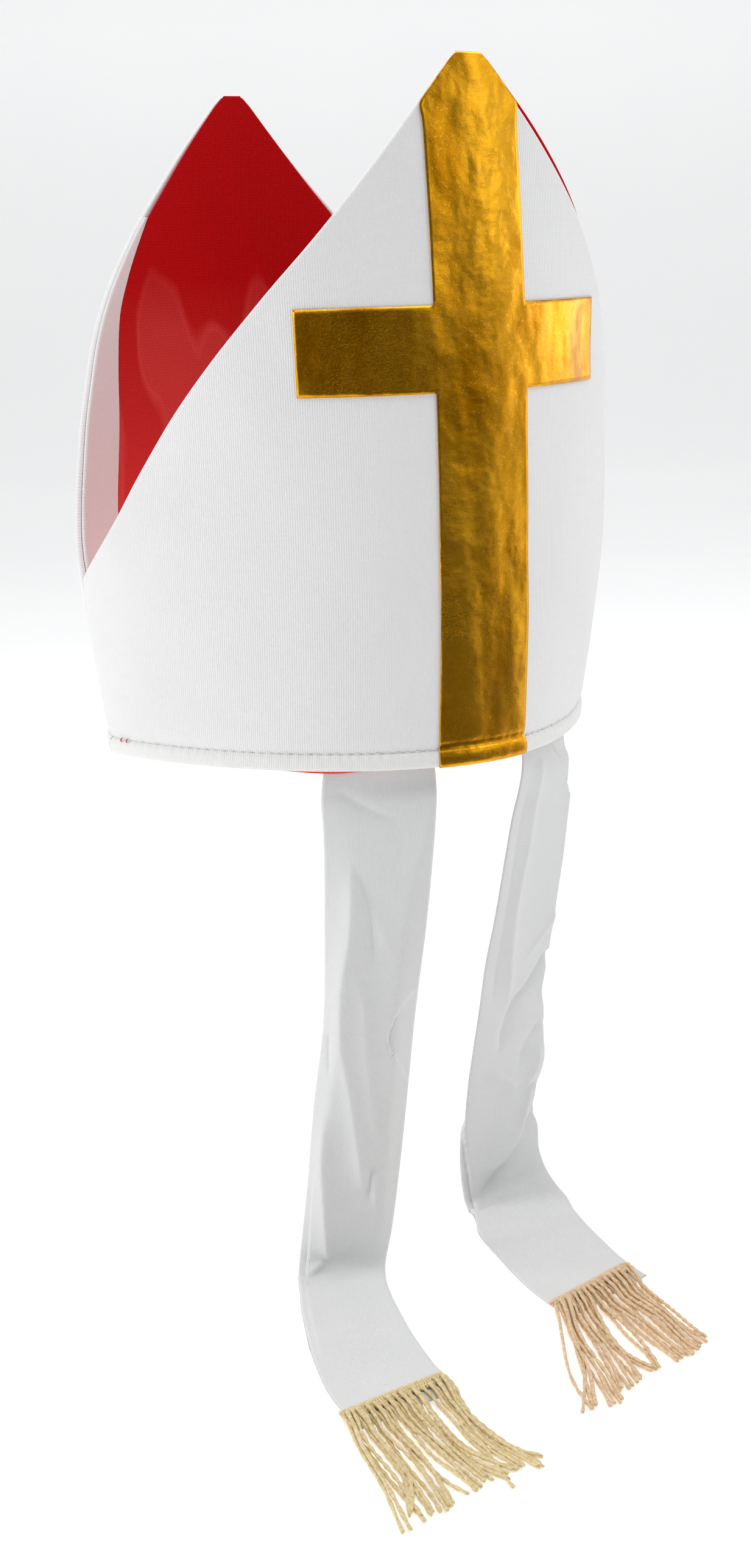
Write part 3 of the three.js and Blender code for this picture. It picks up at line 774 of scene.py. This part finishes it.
# Folds: places as (length below the hem, share of the half width), how far the fold stands out, its
# widths to the left and right, and the lengths over which it begins and ends
RIDGES = {
    "left": [
        (((34, -0.48), (61, -0.48), (81, -0.62), (99, -0.55), (107, -0.42), (121, -0.18), (143, 0.11),
          (160, 0.32)), 1.7, 4, 5, 22, 12),
        (((34, -0.48), (42, -0.29), (51, -0.13), (61, -0.02), (78, 0.06)), -0.9, 2.5, 5, 10, 20),
        (((50, 0), (58, 0.11), (71, 0.5)), 0.8, 5, 6, 10, 12),
        (((73, -0.46), (83, -0.15), (100, 0), (117, 0.2), (140, 0.46)), 0.8, 4, 2.5, 10, 12),
        (((128, -0.73), (145, -0.7), (158, -0.59), (172, -0.46), (186, -0.3)), 1.7, 3, 6, 18, 8),
        (((146, 0.4), (155, 0.4), (162, 0.45)), -0.8, 2, 2, 6, 6),
        (((149, 0.52), (156, 0.53), (166, 0.59)), 0.7, 3, 3, 5, 8),
        (((96, -0.81), (103, -0.79), (113, -0.7)), -0.7, 0.8, 0.8, 4, 5),
        (((7, -0.65), (10, -0.57), (18, 0.11), (22, 0.4)), -0.5, 5, 5, 3, 5),
        (((185, -0.4), (188, -0.55), (192, -0.8)), 1.2, 2, 2, 3, 3)],
    "right": [
        (((6, -0.33), (20, -0.42), (40, -0.37), (63, -0.46), (87, -0.33), (112, -0.13)), 1.3, 5, 4, 6, 20),
        (((15, -0.72), (60, -0.7), (110, -0.65)), -0.6, 4, 4, 10, 20),
        (((74, 0.97), (78, 0.9), (87, 0.4), (92, 0.2)), 0.5, 3, 3, 3, 5),
        (((90, 0.95), (96, 0.77), (103, 0.42), (105, 0.22), (112, -0.02), (123, -0.18), (130, -0.31)),
         -1.7, 2.5, 5, 4, 12),
        (((120, 0.85), (123, 0.77), (128, 0.55), (139, 0.33)), -0.9, 4, 4, 3, 8),
        (((130, 0.85), (140, 0.8), (148, 0.6)), 1.0, 4, 4, 5, 5),
        (((134, -0.4), (139, -0.07), (146, 0.37)), 0.8, 6, 3, 3, 4),
        (((148, 0.8), (158, 0.57), (166, 0.4), (172, 0.09), (176, -0.31), (179, -0.64)), 1.5, 6, 5, 6, 4),
        (((158, 0.85), (167, 0.55), (174, 0.24), (179, -0.18), (184, -0.55), (190, -0.77)),
         -1.3, 3, 6, 5, 4)],
}

# Steps, where one layer lies over another: places, how far the cloth beyond drops, the side of it, and
# the lengths over which the step begins and ends
STEPS = {
    "left": [
        (((80, 0.97), (87, 0.66), (92, 0.51), (98, 0.43), (102, 0.48), (106, 0.64), (110, 0.77),
          (117, 0.97)), 1.5, 1, 3, 4),
        (((148, -0.8), (157, -0.81), (189, -0.76), (197, -0.81), (226, -0.82), (250, -0.84)),
         1.0, -1, 8, 20)],
    "right": [
        (((1, 0.1), (3, 0.15), (7, 0.37), (16, 0.64), (21, 0.77), (27, 0.95)), 2.2, 1, 2, 3),
        (((150, -0.99), (168, -0.86), (185, -0.81), (194, -0.92)), 1.8, -1, 8, 4)],
}

ARCH_SHARPNESS = 9
RIDGE_GAIN = 1.6
RIDGE_END_WIDTH = 0.35
CREST = 0.39
CREST_SQUARE = 0.15
STEP_WIDTH = 0.8
STEP_SLOPE = 0.12

# How far the right lappet's right edge stands out past its rows
RIGHT_EDGE = [
    (-12, 0), (0, 4), (5, 3.6), (12, 2.6), (20, 1), (28, 0), (98, 0), (107, -2), (116, 0.3), (137, 2),
    (147, -0.5), (156, -3.4), (166, 0.2), (176, -0.8), (188, 0), (262, 0)]


def smooth_rows(rows, count):
    """Rows resampled evenly along a smooth curve through the given ones."""
    rows = np.array(rows, float)
    steps = np.linalg.norm(np.diff(rows[:, :3], axis=0), axis=1)
    along = np.concatenate([[0], np.cumsum(steps)])
    places = np.linspace(0, along[-1], count)
    return np.array([curve(along, rows[:, k], places) for k in range(rows.shape[1])]).T, places, along[1]


def envelope(length, start, end, rise, fall):
    """0 before start and after end, and 1 between, with soft shoulders."""
    up = np.clip((length - start) / rise, 0, 1)
    down = np.clip((end - length) / fall, 0, 1)
    return up * (2 - up) * ease(down)


def fold_lift(side, length, shares, half):
    """How far each point of a lappet stands out from its plain form."""
    lift = np.zeros((len(length), len(shares)))
    if side == "left":
        at, high, first, second = np.array(LEFT_ARCH, float).T
        high, first, second = (curve(at, values, length)[:, None] for values in (high, first, second))
        rise = np.minimum((shares + 1) / (first + 1), (1 - shares) / (1 - second))
        lift += high * (1 - np.logaddexp(0, (1 - rise) * ARCH_SHARPNESS) / ARCH_SHARPNESS)
    for path, high, left, right, begin, finish in RIDGES[side]:
        at, share = np.array(path, float).T
        size = envelope(length, at[0], at[-1], begin, finish)[:, None]
        off = (shares - curve(at, share, length)[:, None]) * half[:, None]
        width = np.where(off < 0, left, right) * (RIDGE_END_WIDTH + (1 - RIDGE_END_WIDTH) * size)
        lift += RIDGE_GAIN * high * size * np.exp(-(np.sqrt(off ** 2 + CREST_SQUARE) - CREST) / width)
    for path, drop, direction, begin, finish in STEPS[side]:
        at, share = np.array(path, float).T
        size = envelope(length, at[0], at[-1], begin, finish)[:, None]
        off = (shares - curve(at, share, length)[:, None]) * half[:, None] * direction
        beyond = np.maximum(off - STEP_WIDTH, 0)
        lift -= size * (drop * ease(np.clip(off / STEP_WIDTH, 0, 1)) + STEP_SLOPE * beyond)
    seed = 31 if side == "left" else 37
    places = shares * LAPPET_WIDTH / 2
    soft = [
        [0.45 * wave(u, v, 26, seed) + 0.2 * wave(u, v * 0.8, 11, seed + 1) for u in places]
        for v in length]
    return lift + np.array(soft)


def lappet_grid(side, count=300, columns=84):
    """Middle surface of a lappet: points and cloth places."""
    place = LAPPET_PLACE[side]
    sewn = []
    for height in (LAPPET_TOP, 0.0):
        ends = face_row([place - 1, place, place + 1], height, LAPPET_DEPTH)
        angle = math.degrees(math.atan2(ends[2, 1] - ends[0, 1], ends[2, 0] - ends[0, 0]))
        sewn.append((height, ends[1, 0], ends[1, 1], angle, 1))
    rows = [(x, y, z, angle, spread) for z, x, y, angle, spread in sewn + LAPPET_ROWS[side]]
    smooth, places, hem = smooth_rows(rows, count)
    length = places - hem
    middle, half = smooth[:, :3], smooth[:, 4] * LAPPET_WIDTH / 2
    along = np.gradient(middle, axis=0)
    along /= np.linalg.norm(along, axis=1)[:, None]
    shares = np.linspace(-1, 1, columns)
    angle = np.radians(smooth[:, 3])
    across = np.stack([np.cos(angle), np.sin(angle), 0 * angle], -1)
    facing = np.cross(along, across)
    facing /= np.linalg.norm(facing, axis=1)[:, None]
    hung = ease(np.clip(length / 10, 0, 1))
    lift = fold_lift(side, length, shares, half) * hung[:, None]
    reach = shares[None, :] * half[:, None]
    if side == "right":
        at, extra = np.array(RIGHT_EDGE, float).T
        reach = reach + np.clip(shares, 0, 1)[None, :] ** 3 * curve(at, extra, length)[:, None]
    grid = middle[:, None] + reach[..., None] * across[:, None] + lift[..., None] * facing[:, None]
    for i in range(count):
        share = min(max((middle[i, 2] + 12) / 12, 0), 1)
        if share > 0:
            height = max(middle[i, 2], 0.0)
            against = face_row(place + shares * LAPPET_WIDTH / 2, height, LAPPET_DEPTH, middle[i, 2])
            grid[i] = grid[i] * (1 - share) + against * share
    uv = np.stack(np.broadcast_arrays(shares[None, :] * LAPPET_WIDTH / 2, places[:, None]), -1)
    return grid, uv


def thicken(grid, thick):
    """Two grids, one each side of a middle surface, that meet in a rounded border."""
    du = np.gradient(grid, axis=1)
    dv = np.gradient(grid, axis=0)
    normal = np.cross(du, dv)
    normal /= np.linalg.norm(normal, axis=2)[..., None]
    rows, cols = grid.shape[:2]
    r = np.minimum(np.arange(rows), np.arange(rows)[::-1])[:, None]
    c = np.minimum(np.arange(cols), np.arange(cols)[::-1])[None, :]
    near = np.sqrt(np.clip(np.minimum(r, c) / 2.0, 0, 1))
    half = (thick / 2 * near)[..., None]
    front, back = grid + normal * half, grid - normal * half
    lowest = FLOOR + RESTING_GAP
    back[..., 2] = np.maximum(back[..., 2], lowest)
    front[..., 2] = np.maximum(front[..., 2], lowest + 2 * half[..., 0])
    return front, back


def make_lappets():
    pieces = {}
    for side in ("left", "right"):
        grid, uv = lappet_grid(side)
        front, back = thicken(grid, LAPPET_THICK)
        points, faces, uvs = shell(front, back, uv)
        piece = new_piece(side + "_lappet_cloth", points, faces, uvs, [lappet_white])
        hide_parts(side + "_lappet")
        pieces[side] = piece
    return pieces


# Fringes

# Locks of cords: share of the lappet's width where each starts, then (sideways, outwards) at a middle
# place and at the tip in mm, and the number of its cords
LOCKS = {
    "left": [
        (-0.47, -27, 26, -38, 63, 2), (-0.43, -26, 32, -30.5, 61, 2), (-0.38, -21, 34, -32, 57, 2),
        (-0.36, -21.5, 36, -27, 60, 2), (-0.29, -17.5, 34, -23, 62, 2), (-0.21, -13, 32, -19.5, 60, 3),
        (-0.14, -14, 40, -12, 58, 1), (-0.07, -6.5, 34, -7.3, 58, 4), (0.03, -2.5, 34, -3, 57, 3),
        (0.1, -1.5, 36, 2.3, 60, 1), (0.15, 1, 34, 6, 57, 3), (0.25, 6.5, 30, 5, 48, 1),
        (0.32, 8, 32, 1.5, 66, 1), (0.37, 9, 34, 9.5, 58, 3), (0.45, 12.2, 30, 14.7, 61, 3),
        (0.48, 12.5, 34, 18, 58, 1)],
    "right": [
        (-0.48, -47, 31, -60, 54, 1), (-0.45, -38, 28, -64, 53, 1), (-0.43, -36, 25, -58, 53, 2),
        (-0.38, -36, 29, -52, 58, 4), (-0.3, -30, 31, -43, 54, 4), (-0.2, -25, 32, -36, 54, 3),
        (-0.15, -26, 34, -28, 54, 2), (-0.1, -17, 35, -27, 54, 2), (0, -9, 31, -16, 55, 4),
        (0.15, -2, 27, -10, 56, 4), (0.3, 3, 27, -5, 55, 5), (0.45, 7, 27, 1, 54, 2)],
}
BRAIDS = {"left": pale_braid, "right": warm_braid}
CORD_RADIUS = 0.64

# Rows of the heading: place outwards, height and thickness
BRAID_ROWS = [(-2.0, 0.3, 0.34), (-0.6, 1.0, 0.52), (0.9, 1.15, 0.52), (2.4, 1.0, 0.52)]
BRAID_WIDTH = 0.97 * LAPPET_WIDTH
BRAID_WRAPS = 38
CLOTH_PAST_HEADING = 9.0
CLOTH_TOP = FLOOR + LAPPET_THICK + 0.45


def fringe_axes(side):
    """The heading's middle, and the directions across the lappet and outwards from it."""
    _, x, y, degrees, _ = LAPPET_ROWS[side][-1]
    angle = math.radians(degrees)
    across = np.array([math.cos(angle), math.sin(angle), 0])
    along = np.array([across[1], -across[0], 0])
    return np.array([x, y, 0]) - along * CLOTH_PAST_HEADING, across, along


def cord_path(rng, lock, k, steps=60):
    """Sideways, outward and upward places of one cord of a lock."""
    share, mid_side, mid_out, tip_side, tip_out, count = lock
    order = k - (count - 1) / 2
    t = np.linspace(0, 1, steps)
    start = share * LAPPET_WIDTH + order * 1.35
    middle, tip = mid_side + order * 1.2, tip_side + order * 1.5 + rng.uniform(-0.6, 0.6)
    tip_out = tip_out * rng.uniform(0.95, 1.0)
    bend = 4 * t * (1 - t)
    line_side, line_out = start * (1 - t) + tip * t, 1.0 * (1 - t) + tip_out * t
    share_mid = mid_out / tip_out
    bow = middle - (start * (1 - share_mid) + tip * share_mid)
    bow_shape = np.sin(np.pi * t ** (math.log(0.5) / math.log(share_mid)))
    swing = rng.uniform(0.9, 2.6) * np.sin(rng.uniform(0, 6.28) + t * rng.uniform(5, 10)) * t * (1.2 - t)
    weave = 0.5 * np.sin(math.pi * (k + 2.2 * t)) * bend * (count > 1)
    layer = 1.25 * (k % 2) * (count > 1) + rng.uniform(0, 0.5)
    on_cloth = ease(np.clip(1 - (line_out - 8) / 7, 0, 1))
    up = FLOOR + CORD_RADIUS + RESTING_GAP + (CLOTH_TOP - FLOOR + RESTING_GAP) * on_cloth
    up = up + layer * np.clip(1.3 - t, 0, 1)
    return line_side + bow * bow_shape + swing + weave, line_out, up


def make_fringes(lappets):
    for side, seed in (("left", 11), ("right", 12)):
        rng = random.Random(seed)
        end, across, along = fringe_axes(side)
        parts = []
        for lock in LOCKS[side]:
            for k in range(lock[-1]):
                sideways, outwards, up = cord_path(rng, lock, k)
                path = end + np.outer(sideways, across) + np.outer(outwards, along)
                path[:, 2] = up
                radii = CORD_RADIUS * rng.uniform(0.88, 1.08) * np.ones(len(up))
                radii[0], radii[-2], radii[-1] = 0.5, CORD_RADIUS * 1.1, CORD_RADIUS * 0.8
                parts.append(tube(path, radii, 8, rng.uniform(0, 3), 2, 0.24, 2.6))
        points, faces = join_parts(parts)
        cords = new_piece(side + "_fringe_cords", points, faces, None, [BRAIDS[side]])
        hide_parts(side + "_fringe")
        braid = make_braid(side, end, across, along)


def make_braid(side, end, across, along):
    """Heading of the fringe: small loops along its upper edge and three rows of slanted wraps."""
    parts = []
    for row, (place, high, size) in enumerate(BRAID_ROWS):
        lean = 0.45 if row % 2 else -0.45
        for i in range(BRAID_WRAPS):
            middle = (-0.5 + (i + 0.5) / BRAID_WRAPS) * BRAID_WIDTH
            t = np.linspace(-1, 1, 6)
            path = end + np.outer(middle + lean * t, across) + np.outer(place + 0.95 * t, along)
            path[:, 2] = CLOTH_TOP + 0.3 + high * np.sqrt(1.02 - t ** 2)
            parts.append(tube(path, size * np.array([0.6, 0.95, 1, 1, 0.95, 0.6]), 6))
    core = end + np.outer(np.linspace(-0.5, 0.5, 14) * BRAID_WIDTH, across)
    core[:, 2] = CLOTH_TOP + 0.55
    parts.append(tube(core, np.full(14, 0.7), 8))
    points, faces = join_parts(parts)
    return new_piece(side + "_fringe_braid", points, faces, None, [BRAIDS[side]])


# Stage, lights and camera

def make_stage():
    """White floor that curves up into a wall, turned to face the camera."""
    width, front, back, rise, radius = 6.0, -3.2, 2.6, 3.2, 0.8
    section = [(front, 0.0), (back, 0.0)]
    for i in range(1, 13):
        angle = math.radians(90 * i / 12)
        section.append((back + radius * math.sin(angle), radius * (1 - math.cos(angle))))
    section.append((back + radius, rise))
    points, faces = [], []
    for y, z in section:
        points += [(-width, y, z), (width, y, z)]
    for i in range(len(section) - 1):
        faces.append((2 * i, 2 * i + 1, 2 * i + 3, 2 * i + 2))
    mesh = bpy.data.meshes.new("backdrop")
    mesh.from_pydata(points, [], faces)
    mesh.materials.append(stage_material())
    mesh.polygons.foreach_set("use_smooth", [True] * len(mesh.polygons))
    floor = bpy.data.objects.new("backdrop", mesh)
    floor.location = (0, 0, FLOOR * MM)
    floor.rotation_euler = (0, 0, -math.radians(CAMERA_YAW))
    bpy.context.scene.collection.objects.link(floor)
    make_cards()


def make_cards():
    """Cards seen only in reflections, so that the foil has something dark and something bright to mirror."""
    dark, bright = Nodes("dark_card"), Nodes("bright_card")
    dark.set(Base_Color=(0.05, 0.045, 0.04, 1), Roughness=1.0)
    bright.set(Base_Color=(0.9, 0.9, 0.9, 1), Roughness=1.0)
    bright.set(Emission_Color=(1, 1, 1, 1), Emission_Strength=1.5)
    low = FLOOR * MM + 0.002
    cards = [
        ("floor_card", dark, [(-3.5, -4.0, low), (2.4, -4.0, low), (0.6, -0.27, low), (-3.5, -0.27, low)]),
        ("back_card", dark, [(-3.6, -2.0, low), (-0.35, -3.0, low), (-0.35, -3.0, 1.1), (-3.6, -2.0, 1.1)]),
        ("side_card", bright, [(2.0, -1.1, -0.05), (2.0, 0.5, -0.05), (2.0, 0.5, 0.9), (2.0, -1.1, 0.9)]),
    ]
    for name, nodes, points in cards:
        mesh = bpy.data.meshes.new(name)
        mesh.from_pydata(points, [], [(0, 1, 2, 3)])
        mesh.materials.append(nodes.material)
        card = bpy.data.objects.new(name, mesh)
        card.visible_camera = card.visible_diffuse = card.visible_shadow = False
        bpy.context.scene.collection.objects.link(card)


def add_light(name, place, aim, size, power, color=(1, 1, 1)):
    light = bpy.data.lights.new(name, "AREA")
    light.shape = "RECTANGLE"
    light.size, light.size_y = size
    light.energy = power
    light.color = color
    lamp = bpy.data.objects.new(name, light)
    lamp.location = place
    lamp.rotation_euler = (Vector(aim) - Vector(place)).to_track_quat("-Z", "Y").to_euler()
    bpy.context.scene.collection.objects.link(lamp)


def make_lights():
    aim = (0, 0, 0.05)
    add_light("soft_top", (-0.1, -0.2, 1.6), aim, (1.5, 1.2), 13.5)
    add_light("soft_left", (-1.5, 0.4, 0.6), aim, (0.8, 1.2), 12.5)
    add_light("soft_right", (1.15, -0.6, 1.5), aim, (0.9, 1.0), 10)
    add_light("soft_front", (1.3, -2.0, 0.85), aim, (1.2, 0.9), 4.5)
    world = bpy.data.worlds.new("studio")
    world.use_nodes = True
    world.node_tree.nodes["Background"].inputs["Color"].default_value = (0.95, 0.97, 1.0, 1)
    world.node_tree.nodes["Background"].inputs["Strength"].default_value = 0.22
    bpy.context.scene.world = world
    bpy.context.scene.view_settings.view_transform = "Standard"


def make_camera():
    yaw, pitch, roll = (math.radians(v) for v in (CAMERA_YAW, CAMERA_PITCH, CAMERA_ROLL))
    forward = Vector((math.sin(yaw) * math.cos(pitch), math.cos(yaw) * math.cos(pitch), math.sin(pitch)))
    level = Vector((math.cos(yaw), -math.sin(yaw), 0))
    upright = level.cross(forward)
    right = level * math.cos(roll) + upright * math.sin(roll)
    up = upright * math.cos(roll) - level * math.sin(roll)
    data = bpy.data.cameras.new("camera")
    data.lens = data.sensor_width * FOCAL_PIXELS / IMAGE_HEIGHT
    data.clip_start, data.clip_end = 0.05, 50
    camera = bpy.data.objects.new("camera", data)
    turn = Matrix((right, up, -forward)).transposed().to_4x4()
    camera.matrix_world = Matrix.Translation(Vector(CAMERA_PLACE) * MM) @ turn
    bpy.context.scene.collection.objects.link(camera)
    bpy.context.scene.camera = camera


make_panels()
make_linings()
make_hem()
make_stitches()
make_thread_ends()
make_cross()
make_fringes(make_lappets())
make_stage()
make_lights()
make_camera()
